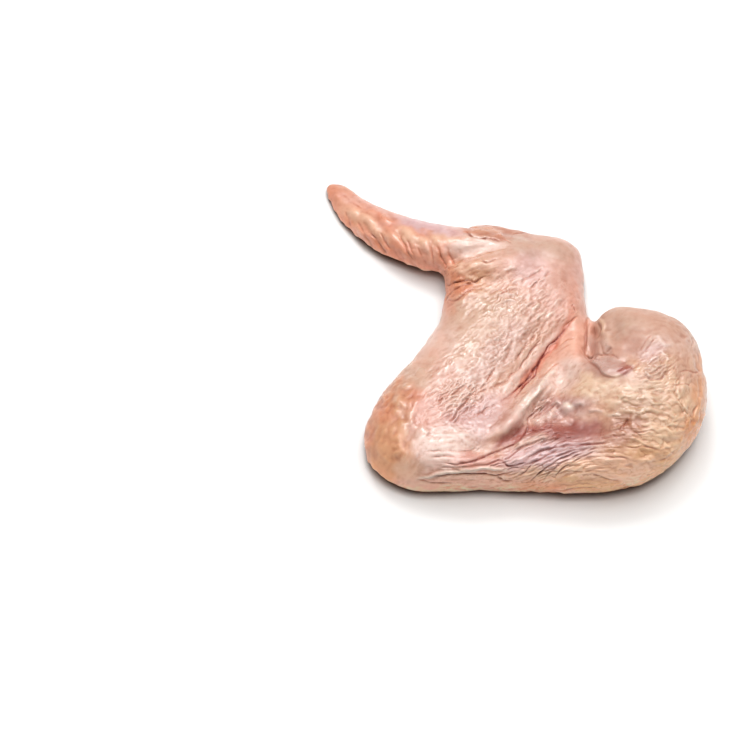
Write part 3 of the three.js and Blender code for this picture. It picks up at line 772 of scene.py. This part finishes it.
def grained_noise(points, angle, long, wide, seed):
    """Smooth noise drawn out along the grain."""
    turn = (angle % math.pi) / math.pi * GRAIN_TURNS
    total = np.zeros(len(points))
    for number in range(GRAIN_TURNS):
        apart = np.abs((turn - number + GRAIN_TURNS / 2) % GRAIN_TURNS - GRAIN_TURNS / 2)
        used = np.flatnonzero(apart < 1)
        if not len(used):
            continue
        way = math.pi * number / GRAIN_TURNS
        along = math.cos(way) * VIEW_RIGHT + math.sin(way) * VIEW_UP
        across = math.cos(way) * VIEW_UP - math.sin(way) * VIEW_RIGHT
        axes = np.stack([along / long, across / wide, VIEW_FORWARD / (2 * wide)], axis=1)
        total[used] += np.sqrt(1 - apart[used]) * noise(points[used] @ axes, 1.0, seed + number)
    return total


def smooth_line(path, steps=6):
    """A smooth line through the points of a path."""
    points = np.array(path, float)
    padded = np.vstack([2 * points[0] - points[1], points, 2 * points[-1] - points[-2]])
    line = []
    for before, start, end, after in zip(padded, padded[1:], padded[2:], padded[3:]):
        for share in np.arange(steps) / steps:
            line.append(0.5 * (2 * start + (end - before) * share
                               + (2 * before - 5 * start + 4 * end - after) * share ** 2
                               + (3 * start - before - 3 * end + after) * share ** 3))
    line.append(points[-1])
    return np.array(line)


def beside(pixels, path, reach):
    """The vertices near a path in px, how far each lies to its left, and how far along it, 0 to 1."""
    line = smooth_line(path)
    near = np.flatnonzero(((pixels > line.min(0) - reach) & (pixels < line.max(0) + reach)).all(axis=1))
    points = pixels[near]
    best = np.full(len(near), FAR)
    off = np.zeros(len(near))
    along = np.zeros(len(near))
    steps = line[1:] - line[:-1]
    lengths = np.hypot(steps[:, 0], steps[:, 1])
    reached = 0.0
    for start, step, length in zip(line, steps, lengths):
        share = np.clip(((points - start) @ step) / length ** 2, 0, 1)
        gap = points - start - share[:, None] * step
        distance = np.hypot(gap[:, 0], gap[:, 1])
        left = step[1] * gap[:, 0] - step[0] * gap[:, 1]
        closer = distance < best
        best[closer] = distance[closer]
        off[closer] = (np.where(left < 0, -1.0, 1.0) * distance)[closer]
        along[closer] = (reached + share * length)[closer]
        reached += length
    kept = best < reach
    return near[kept], off[kept], along[kept] / reached


def tapered(along, share):
    """Fades a line in and out at its ends."""
    return smoothstep(0, share, along) * smoothstep(1, 1 - share, along)


def off_middle(pixels, oval):
    """How far each vertex is from the middle of an oval, 1 on its edge."""
    x, y, across, down, turn = oval
    angle = math.radians(turn)
    dx = pixels[:, 0] - x
    dy = y - pixels[:, 1]
    long_way = dx * math.cos(angle) + dy * math.sin(angle)
    short_way = dy * math.cos(angle) - dx * math.sin(angle)
    return np.hypot(long_way / across, short_way / down)


def in_patch(pixels, oval):
    """How far each vertex is inside a soft oval patch, 1 at its middle."""
    return np.exp(-0.5 * off_middle(pixels, oval) ** 2)


# The mesh


def cut_finer(mesh, worth, cuts):
    """Cuts the faces between the vertices that are worth it."""
    work = bmesh.new()
    work.from_mesh(mesh)
    edges = [edge for edge in work.edges if worth[edge.verts[0].index] and worth[edge.verts[1].index]]
    bmesh.ops.subdivide_edges(work, edges=edges, cuts=cuts, use_grid_fill=True)
    bmesh.ops.triangulate(work, faces=work.faces)
    work.to_mesh(mesh)
    work.free()
    mesh.update()


def inside(spots, starts, ends):
    """Which spots lie inside closed outlines, by how many sides a line to the right of each crosses."""
    down = spots[:, 1, None]
    crossed = (starts[:, 1] > down) != (ends[:, 1] > down)
    rise = ends[:, 1] - starts[:, 1]
    slope = (ends[:, 0] - starts[:, 0]) / np.where(rise == 0, 1.0, rise)
    reach = starts[:, 0] + slope * (down - starts[:, 1])
    return (crossed & (reach > spots[:, 0, None])).sum(axis=1) % 2 == 1


def base_spots(outline):
    """A grid of spots, every other row moved by half a step, that keep away from the outline's points."""
    low, high = outline.min(axis=0), outline.max(axis=0)
    columns, rows = np.arange(low[0], high[0], BASE_STEP), np.arange(low[1], high[1], BASE_STEP)
    spots = np.stack([axis.ravel() for axis in np.meshgrid(columns, rows)], axis=1)
    spots[:, 0] += BASE_STEP / 2 * (np.round((spots[:, 1] - low[1]) / BASE_STEP) % 2)
    gaps = np.hypot(*(spots[:, None] - outline).transpose(2, 0, 1)).min(axis=1)
    return spots[gaps > BASE_GAP * BASE_STEP]


def even_base(work):
    """Gives the flat faces on the table an even mesh, which can follow their rim."""
    flat = [face for face in work.faces if max(vert.co.z for vert in face.verts) < ON_TABLE * MM]
    bmesh.ops.delete(work, geom=flat, context="FACES")
    sides = [edge for edge in work.edges if edge.is_boundary]
    corners = list(dict.fromkeys(vert for edge in sides for vert in edge.verts))
    number = {vert: index for index, vert in enumerate(corners)}
    pairs = [(number[edge.verts[0]], number[edge.verts[1]]) for edge in sides]
    outline = np.array([vert.co.xy for vert in corners]) / MM
    starts, ends = outline[[pair[0] for pair in pairs]], outline[[pair[1] for pair in pairs]]
    spots = base_spots(outline)
    spots = spots[inside(spots, starts, ends)]
    places = [Vector(spot) for spot in np.vstack([outline, spots])]
    found, _, faces, origin, _, _ = geometry.delaunay_2d_cdt(places, pairs, [], 0, 1e-6)
    middles = np.array([sum((found[index] for index in face), Vector((0, 0))) / 3 for face in faces])
    kept = inside(middles, starts, ends)
    verts = corners + [work.verts.new((spot[0] * MM, spot[1] * MM, 0)) for spot in spots]
    for face, wanted in zip(faces, kept):
        if wanted:
            work.faces.new([verts[origin[index][0]] for index in reversed(face)])


def fine_mesh(node):
    """The CAD node's shape, with its upper faces cut finely and smoothed."""
    source = bmesh.new()
    source.from_mesh(node.data)
    bmesh.ops.remove_doubles(source, verts=source.verts, dist=SAME_PLACE * MM)
    even_base(source)
    mesh = bpy.data.meshes.new("wing_skin")
    source.to_mesh(mesh)
    source.free()
    cut_finer(mesh, normals(mesh)[:, 2] > UPWARD, CUTS)
    points = positions(mesh)
    smooth = averaged(points, edges_of(mesh), SMOOTHING_ROUNDS)
    free = smoothstep(0, SMOOTH_ABOVE, points[:, 2])[:, None]
    place(mesh, points + free * (smooth - points))
    return mesh


def rows_of(items, name, columns, kind):
    """What each item of a mesh holds, one row for each."""
    flat = np.zeros(len(items) * columns, kind)
    items.foreach_get(name, flat)
    return flat.reshape(-1, columns)


def positions(mesh):
    return rows_of(mesh.vertices, "co", 3, float) / MM


def normals(mesh):
    return rows_of(mesh.vertex_normals, "vector", 3, np.float32).astype(float)


def edges_of(mesh):
    return rows_of(mesh.edges, "vertices", 2, np.int32)


def place(mesh, points):
    mesh.vertices.foreach_set("co", (points * MM).ravel())
    mesh.update()


def averaged(values, edges, rounds, share=0.5):
    """Values moved towards the average of their neighbours, some rounds."""
    count = len(values)
    first, second = edges.T
    degree = np.bincount(first, minlength=count) + np.bincount(second, minlength=count)
    columns = values.reshape(count, -1).copy()
    for _ in range(rounds):
        for axis in range(columns.shape[1]):
            column = columns[:, axis]
            total = np.bincount(first, weights=column[second], minlength=count)
            total += np.bincount(second, weights=column[first], minlength=count)
            columns[:, axis] += share * (total / degree - column)
    return columns.reshape(values.shape)


# The relief


def grain_at(pixels):
    """The grain's direction, height and share of each kind at each place, blended from the table."""
    weights = np.zeros((len(pixels), len(GRAIN)))
    # Where no row is near, the tiny second part lets the nearest ones decide.
    for index, (x, y, *_) in enumerate(GRAIN):
        away = np.hypot(pixels[:, 0] - x, pixels[:, 1] - y)
        weights[:, index] = np.exp(-0.5 * (away / GRAIN_REACH_PX) ** 2) + 1e-9 / (1 + away)
    weights /= weights.sum(axis=1, keepdims=True)
    turns = np.radians([2 * row[2] for row in GRAIN])
    angle = 0.5 * np.arctan2(weights @ np.sin(turns), weights @ np.cos(turns))
    height = weights @ np.array([row[4] for row in GRAIN])
    shares = {kind: weights @ np.array([float(row[3] == kind) for row in GRAIN]) for kind in GRAIN_KINDS}
    return angle, height, shares


def spread_seeds(points, way, long, wide, random):
    """Vertices in random order, each kept when no kept one lies within its own cell."""
    kept = []
    grid = {}
    for index in random.permutation(len(points))[:SEED_TRIES]:
        point = points[index]
        x, y, z = (point // SEED_GRID).astype(int)
        others = [other for step in np.ndindex(3, 3, 3)
                  for other in grid.get((x + step[0] - 1, y + step[1] - 1, z + step[2] - 1), ())]
        if others:
            gap = points[others] - point
            along = gap @ way[index]
            across = (gap ** 2).sum(axis=1) - along ** 2
            if ((along / long) ** 2 + across / wide ** 2 < SEED_CLEARANCE).any():
                continue
        kept.append(index)
        grid.setdefault((x, y, z), []).append(index)
    return np.array(kept)


def cells(points, normal, angle, size, seed):
    """Puffed cells drawn out along the grain: how full the cell is at each vertex."""
    random = np.random.default_rng(seed)
    way = np.cos(angle)[:, None] * VIEW_RIGHT + np.sin(angle)[:, None] * VIEW_UP
    way -= (way * normal).sum(axis=1, keepdims=True) * normal
    way /= np.linalg.norm(way, axis=1, keepdims=True) + 1e-9
    long, wide = size
    chosen = spread_seeds(points, way, long, wide, random)
    tree = kdtree.KDTree(len(chosen))
    for number, index in enumerate(chosen):
        tree.insert(points[index], number)
    tree.balance()
    found = np.array([[hit[1] for hit in tree.find_n(point, NEIGHBOURS)] for point in points])
    turn = random.normal(0, CELL_TURN, len(chosen))[:, None]
    seed_way = way[chosen] * np.cos(turn) + np.cross(normal[chosen], way[chosen]) * np.sin(turn)
    seed_long = long * random.uniform(*CELL_LENGTHS, len(chosen))
    seed_wide = wide * random.uniform(*CELL_WIDTHS, len(chosen))
    seed_points = points[chosen]
    best = np.full(len(points), FAR)
    second = np.full(len(points), FAR)
    owner = np.zeros(len(points), int)
    for index in found.T:
        gap = points - seed_points[index]
        along = (gap * seed_way[index]).sum(axis=1)
        across = (gap ** 2).sum(axis=1) - along ** 2
        distance = (along / seed_long[index]) ** 2 + across / seed_wide[index] ** 2
        closer = distance < best
        second = np.where(closer, best, np.minimum(second, distance))
        owner = np.where(closer, index, owner)
        best = np.where(closer, distance, best)
    height = random.uniform(*CELL_HEIGHTS, len(chosen))[owner]
    dome = np.clip(DOME_TOP - DOME_FALL * best, 0, 1)
    return ((1 - CELL_DOME) * smoothstep(0, GROOVE_WIDE, second - best) + CELL_DOME * dome) * height


def ridges(points, angle, kind):
    """A net of thin winding ridges drawn out along the grain, from 0 between them to 1 on top."""
    long, wide = GRAIN_KINDS[kind]
    net = np.zeros(len(points))
    for scale, height, sharpness, seed in NETS[kind]:
        layer = grained_noise(points, angle, scale * long, scale * wide, seed)
        net += height * np.exp(-(layer * sharpness) ** 2)
    return net


def drawn_relief(points, pixels, facing):
    """How far lumps, ridges and creases raise each vertex in mm, and the tones that they lay over it:
    painted highlights on the ridges, and crease floors that are partly painted shade.
    """
    rise = np.zeros(len(points))
    stains_and_painted_light = []
    pixels = pixels + WANDER_PX * noises(points, WANDER_PERIOD, SEEDS["wander"])
    uneven = np.clip(CREASE_USUAL + layered(points, CREASE_VARIES), *CREASE_LIMITS)
    for *oval, height in LUMPS:
        rise += height * in_patch(pixels, oval) * facing
    for path, height, width, tone, strength in RIDGES:
        near, off, along = beside(pixels, path, RIDGE_REACH * width * PX_PER_MM)
        shape = tapered(along, RIDGE_TAPER) * facing[near] * np.exp(-(off / (width * PX_PER_MM)) ** 2)
        rise[near] += height * shape
        stains_and_painted_light.append((near, strength * shape, tone))
    for path, depth, width, left, right, tone, strength in CREASES:
        near, off, along = beside(pixels, path, CREASE_REACH * width * PX_PER_MM)
        taper = tapered(along, CREASE_TAPER) * facing[near] * uneven[near]
        away = np.abs(off) / (width * PX_PER_MM)
        floor = np.exp(-FLOOR_NARROW * away ** FLOOR_POWER)
        lip = LIP_GAIN * (1 - floor) * np.exp(-away / LIP_REACH)
        rise[near] += taper * (np.where(off > 0, left, right) * lip - depth * floor)
        stains_and_painted_light.append((near, strength * np.clip(taper, 0, 1) * np.exp(-(away / FLOOR_TONE_REACH) ** 2), tone))
    near, off, along = beside(pixels, RIM, RIM_REACH_PX)
    fade = smoothstep(RIM_REACH_PX, RIM_FULL_PX, np.abs(off)) * facing[near]
    fade *= 1 - RIM_END_LESS * smoothstep(*RIM_END, along)
    edge = smoothstep(-RIM_WIDTH * PX_PER_MM, RIM_WIDTH * PX_PER_MM, off)
    rise[near] += fade * RIM_STEP * (edge - 0.5)
    stains_and_painted_light.append((near, RIM_TONE_STRENGTH * fade * np.exp(-(off + RIM_TONE_AWAY_PX) ** 2), RIM_TONE))
    return rise, stains_and_painted_light


def grain_relief(points, normal, pixels, hidden, above):
    """How far the grain and the skin's unevenness raise each vertex in mm."""
    angle, high, shares = grain_at(pixels)
    high = high * RELIEF_GAIN * above * np.clip(1 + layered(points, GRAIN_VARIES), *GRAIN_LIMITS)
    warped = points + WARP * noises(points, WARP_PERIOD, SEEDS["warp"])
    puff = np.tanh(PUFF_STEEP * grained_noise(warped, angle, *PUFF_SIZE, SEEDS["puff"]))
    cell = cells(warped, normal, angle, GRAIN_KINDS["goose"], SEEDS["cells"])
    folds = {
        "goose": (1 - PUFF_SHARE) * cell + PUFF_SHARE * (FOLD_MIDDLE + (1 - FOLD_MIDDLE) * puff),
        "crepe": ridges(warped, angle, "crepe"),
        "strand": ridges(points, angle, "strand"),
        "plain": 0.5 + 0.5 * grained_noise(points, angle, *GRAIN_KINDS["plain"], SEEDS["plain"]),
    }
    rise = sum(shares[kind] * fold for kind, fold in folds.items()) - FOLD_MIDDLE
    for kind, (size, share) in BROAD_FOLDS.items():
        rise += shares[kind] * share * grained_noise(warped, angle, *size, SEEDS["broad"])
    rise *= high * (1 - hidden)
    rise += FAR_GRAIN * above * hidden * (folds["goose"] - FOLD_MIDDLE)
    return rise + above * layered(points, UNEVEN)


def worth_cutting(mesh):
    """Which vertices lie where the relief needs a finer mesh."""
    points = positions(mesh)
    pixels = to_pixels(points)
    facing = -(normals(mesh) @ VIEW_FORWARD)
    _, high, _ = grain_at(pixels)
    worth = high > RELIEF_WORTH_CUTTING
    for path, _, width, *_ in CREASES:
        worth[beside(pixels, path, CUT_REACH * width * PX_PER_MM)[0]] = True
    worth[beside(pixels, RIM, RIM_FULL_PX)[0]] = True
    return worth & (facing > CUT_FACING) & (points[:, 2] > CUT_ABOVE)


def settled(points, normal, rise, edges):
    """The raised skin, curved in and sagging where it meets the table."""
    moved = points + normal * rise[:, None]
    tuck = TUCK * smoothstep(TUCK_HEIGHT, 0.0, points[:, 2])
    moved[:, :2] -= normal[:, :2] * tuck[:, None]
    # It sags along the photograph's lines of sight, so that what the photograph shows stays in its place.
    high_up = np.clip(moved[:, 2] / SAG_HEIGHT, 0, 1)
    ray = moved - CAMERA
    moved += ray * (moved[:, 2] * (1 - high_up) ** SAG_POWER / -ray[:, 2])[:, None]
    inner = points[:, 2] < ON_TABLE
    inner[edges[inner[edges[:, 0]] != inner[edges[:, 1]]].ravel()] = False
    for _ in range(BASE_ROUNDS):
        moved[inner] = averaged(moved, edges, 1)[inner]
    return moved


# The colour


def patchwork(points, pixels, facing):
    """The soft patches of colour, with edges that stray."""
    tone = np.tile(linear("skin"), (len(points), 1))
    strayed = pixels + np.stack([layered(points, STRAY_ACROSS), layered(points, STRAY_DOWN)], axis=1)
    for *oval, name, strength in ZONES:
        share = strength * smoothstep(*ZONE_EDGE, off_middle(strayed, oval))
        if name in DEEP_TONES:
            share *= facing
        tone += share[:, None] * (linear(name) - tone)
    return tone


def tinted(tone, share, tint):
    """A colour that takes on a tint, by a share of its own at each vertex."""
    return tone + share[:, None] * (tone * tint - tone)


def dress(mesh):
    """Lays relief and colour on the smoothed mesh."""
    points = positions(mesh)
    edges = edges_of(mesh)
    normal = averaged(normals(mesh), edges, NORMAL_ROUNDS)
    normal /= np.linalg.norm(normal, axis=1, keepdims=True)
    pixels = to_pixels(points)
    towards = -(normal @ VIEW_FORWARD)
    facing = smoothstep(*SEEN, towards) * smoothstep(0, DRAWN_ABOVE, points[:, 2])
    hidden = smoothstep(*UNSEEN, towards)
    above = smoothstep(0, GRAIN_ABOVE, points[:, 2])

    rise, stains_and_painted_light = drawn_relief(points, pixels, facing)
    rise += grain_relief(points, normal, pixels, hidden, above)
    # The relief's grooves get painted shade and its crests a painted highlight.
    proud = (rise - averaged(rise, edges, HOLLOW_ROUNDS)) / HOLLOW_DEPTH
    groove = np.clip(-proud, 0, 1) * GROOVE_STRENGTH * (1 - FAR_GROOVE_LESS * hidden)
    crest = np.clip(proud, 0, 1) * CREST_STRENGTH

    tone = patchwork(points, pixels, facing)
    # Painted light: steeper skin is laid on paler, most where it faces the front.
    slope = averaged(normal, edges, SLOPE_ROUNDS)
    front = np.clip(STEEP_SIDEWAYS - (1 - STEEP_SIDEWAYS) * slope[:, 1:2], STEEP_LEAST, 1)
    tone *= 1 + STEEP_PAINTED_LIGHT * (1 - np.clip(slope[:, 2:], 0, 1)) * front
    tone *= 1 + MOTTLE_TINT * layered(points, MOTTLE)[:, None]
    tone = tinted(tone, groove, GROOVE_PAINTED_SHADE)
    tone = tinted(tone, crest, CREST_PAINTED_HIGHLIGHT)
    # Tones of the drawn lines: painted highlights on ridges, and crease floors that are partly painted
    # shade.
    for near, strength, name in stains_and_painted_light:
        tone[near] += strength[:, None] * (linear(name) - tone[near])
    # Painted shade where the skin turns under near the table.
    under = smoothstep(*UNDER_TURN, normal[:, 2]) * smoothstep(UNDER_HEIGHT, GRAIN_ABOVE, points[:, 2])
    tone = np.clip(tinted(tone, under * above, UNDER_PAINTED_SHADE), 0, 1)

    rough = ROUGHNESS - CREST_GLOSS * crest
    for *oval, more in WETNESS:
        rough += more * in_patch(pixels, oval)
    place(mesh, settled(points, normal, rise, edges))
    colour = mesh.color_attributes.new("tone", "FLOAT_COLOR", "POINT")
    colour.data.foreach_set("color", np.column_stack([tone, rough]).astype(np.float32).ravel())


# The materials


def add_node(tree, kind, values):
    """Adds a shader node and gives its inputs these values."""
    node = tree.nodes.new(kind)
    set_inputs(node, values)
    return node


def set_inputs(node, values):
    for name, value in values.items():
        node.inputs[name].default_value = value


def add_noise(tree, where, values):
    """Adds a noise texture that is fixed to the object."""
    node = add_node(tree, "ShaderNodeTexNoise", values)
    tree.links.new(where.outputs["Object"], node.inputs["Vector"])
    return node


def add_colour_mix(tree, share, values):
    """Adds a mix of two colours. They are its inputs 6 and 7, and the result is its output 2."""
    node = add_node(tree, "ShaderNodeMix", values)
    node.data_type = "RGBA"
    tree.links.new(share, node.inputs[0])
    return node


def skin_material():
    material = bpy.data.materials.new("raw_skin")
    material.use_nodes = True
    tree = material.node_tree
    link = tree.links.new
    shader = tree.nodes["Principled BSDF"]
    tone = tree.nodes.new("ShaderNodeAttribute")
    tone.attribute_name = "tone"
    where = tree.nodes.new("ShaderNodeTexCoord")

    # Fine blotches of a redder tint.
    blotch = add_noise(tree, where, {"Scale": 900, "Detail": 4})
    spread = add_node(tree, "ShaderNodeMapRange", {"From Min": 0.45, "From Max": 0.75, "To Max": 0.6})
    link(blotch.outputs["Fac"], spread.inputs["Value"])
    tint = add_colour_mix(tree, spread.outputs["Result"], {7: BLOTCH})
    tint.blend_type = "MULTIPLY"
    link(tone.outputs["Color"], tint.inputs[6])
    link(tint.outputs[2], shader.inputs["Base Color"])

    # Wetter and drier spots.
    wet = add_noise(tree, where, {"Scale": 160, "Detail": 3})
    uneven = add_node(tree, "ShaderNodeMapRange",
                      {"From Min": 0.35, "From Max": 0.65, "To Min": -0.06, "To Max": 0.10})
    rough = tree.nodes.new("ShaderNodeMath")
    link(wet.outputs["Fac"], uneven.inputs["Value"])
    link(uneven.outputs["Result"], rough.inputs[0])
    link(tone.outputs["Alpha"], rough.inputs[1])
    link(rough.outputs["Value"], shader.inputs["Roughness"])

    # Pores, which are the only bump.
    pore = add_noise(tree, where, {"Scale": 700, "Detail": 3})
    pore.noise_type = "RIDGED_MULTIFRACTAL"
    bump = add_node(tree, "ShaderNodeBump", {"Strength": 0.25, "Distance": 0.00012})
    link(pore.outputs["Fac"], bump.inputs["Height"])
    link(bump.outputs["Normal"], shader.inputs["Normal"])

    set_inputs(shader, {
        "Subsurface Weight": 0.15,
        "Subsurface Radius": (1.0, 0.45, 0.3),
        "Subsurface Scale": 0.0010,
        "Coat Weight": 0.2,
        "Coat Roughness": 0.2,
    })
    return material


def floor_material():
    """White, with a thin painted shadow where the wing meets the table."""
    material = bpy.data.materials.new("white_table")
    material.use_nodes = True
    tree = material.node_tree
    shader = tree.nodes["Principled BSDF"]
    near = add_node(tree, "ShaderNodeAmbientOcclusion", {"Distance": PAINTED_SHADOW_REACH})
    near.samples = 16
    share = add_node(tree, "ShaderNodeMapRange", {"From Min": 0.30, "From Max": 0.85})
    tree.links.new(near.outputs["AO"], share.inputs["Value"])
    painted_shadow = add_colour_mix(tree, share.outputs["Result"], {6: PAINTED_CONTACT_SHADOW, 7: WHITE})
    tree.links.new(painted_shadow.outputs[2], shader.inputs["Base Color"])
    set_inputs(shader, {"Roughness": 0.7, "Specular IOR Level": 0.2})
    return material


# The studio


def add_object(name, data):
    """Puts a new object into the scene."""
    thing = bpy.data.objects.new(name, data)
    bpy.context.scene.collection.objects.link(thing)
    return thing


def add_light(name, position, size, power):
    """A square light that points at the wing."""
    data = bpy.data.lights.new(name, "AREA")
    data.size = size
    data.energy = power
    light = add_object(name, data)
    light.location = position
    light.rotation_euler = (-Vector(position)).to_track_quat("-Z", "Y").to_euler()


def add_math(tree, operation, first, second):
    """Adds a node that works on a link and a number."""
    node = tree.nodes.new("ShaderNodeMath")
    node.operation = operation
    tree.links.new(first, node.inputs[0])
    node.inputs[1].default_value = second
    return node


def studio_world():
    """Soft light from overhead, and a pale backdrop where the camera looks past the table."""
    world = bpy.data.worlds.new("studio")
    world.use_nodes = True
    tree = world.node_tree
    link = tree.links.new
    heading = tree.nodes.new("ShaderNodeTexCoord")
    towards = add_node(tree, "ShaderNodeVectorMath", {1: BRIGHTEST})
    towards.operation = "DOT_PRODUCT"
    link(heading.outputs["Generated"], towards.inputs[0])
    front = add_math(tree, "MAXIMUM", towards.outputs["Value"], 0.0)
    fade = add_math(tree, "POWER", front.outputs["Value"], FADE)
    height = add_node(tree, "ShaderNodeMapRange", {"To Min": HORIZON, "To Max": ZENITH})
    link(fade.outputs["Value"], height.inputs["Value"])
    looking = tree.nodes.new("ShaderNodeLightPath")
    backdrop = add_node(tree, "ShaderNodeMix", {"B": BACKDROP})
    link(looking.outputs["Is Camera Ray"], backdrop.inputs["Factor"])
    link(height.outputs["Result"], backdrop.inputs["A"])
    background = tree.nodes["Background"]
    background.inputs["Color"].default_value = (1, 1, 1, 1)
    link(backdrop.outputs["Result"], background.inputs["Strength"])
    return world


# The scene

mesh = fine_mesh(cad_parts["wing"])
cut_finer(mesh, worth_cutting(mesh), 1)
dress(mesh)
mesh.shade_smooth()
mesh.materials.clear()
mesh.materials.append(skin_material())
skin = add_object("wing_skin", mesh)
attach(skin, "root")
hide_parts("wing")

floor_mesh = bpy.data.meshes.new("floor")
corners = [(-TABLE, -TABLE, 0), (TABLE, -TABLE, 0), (TABLE, TABLE, 0), (-TABLE, TABLE, 0)]
floor_mesh.from_pydata(corners, [], [(0, 1, 2, 3)])
floor_mesh.materials.append(floor_material())
floor = add_object("floor", floor_mesh)

camera_data = bpy.data.cameras.new("camera")
camera_data.lens = LENS
camera_data.sensor_width = SENSOR
camera = add_object("camera", camera_data)
camera.location = Vector(CAMERA * MM)
camera.rotation_euler = (math.radians(90) - ELEVATION, 0, 0)
bpy.context.scene.camera = camera

for name, (position, size, power) in LIGHTS.items():
    add_light(name, position, size, power)
bpy.context.scene.world = studio_world()
bpy.context.scene.view_settings.view_transform = "Standard"
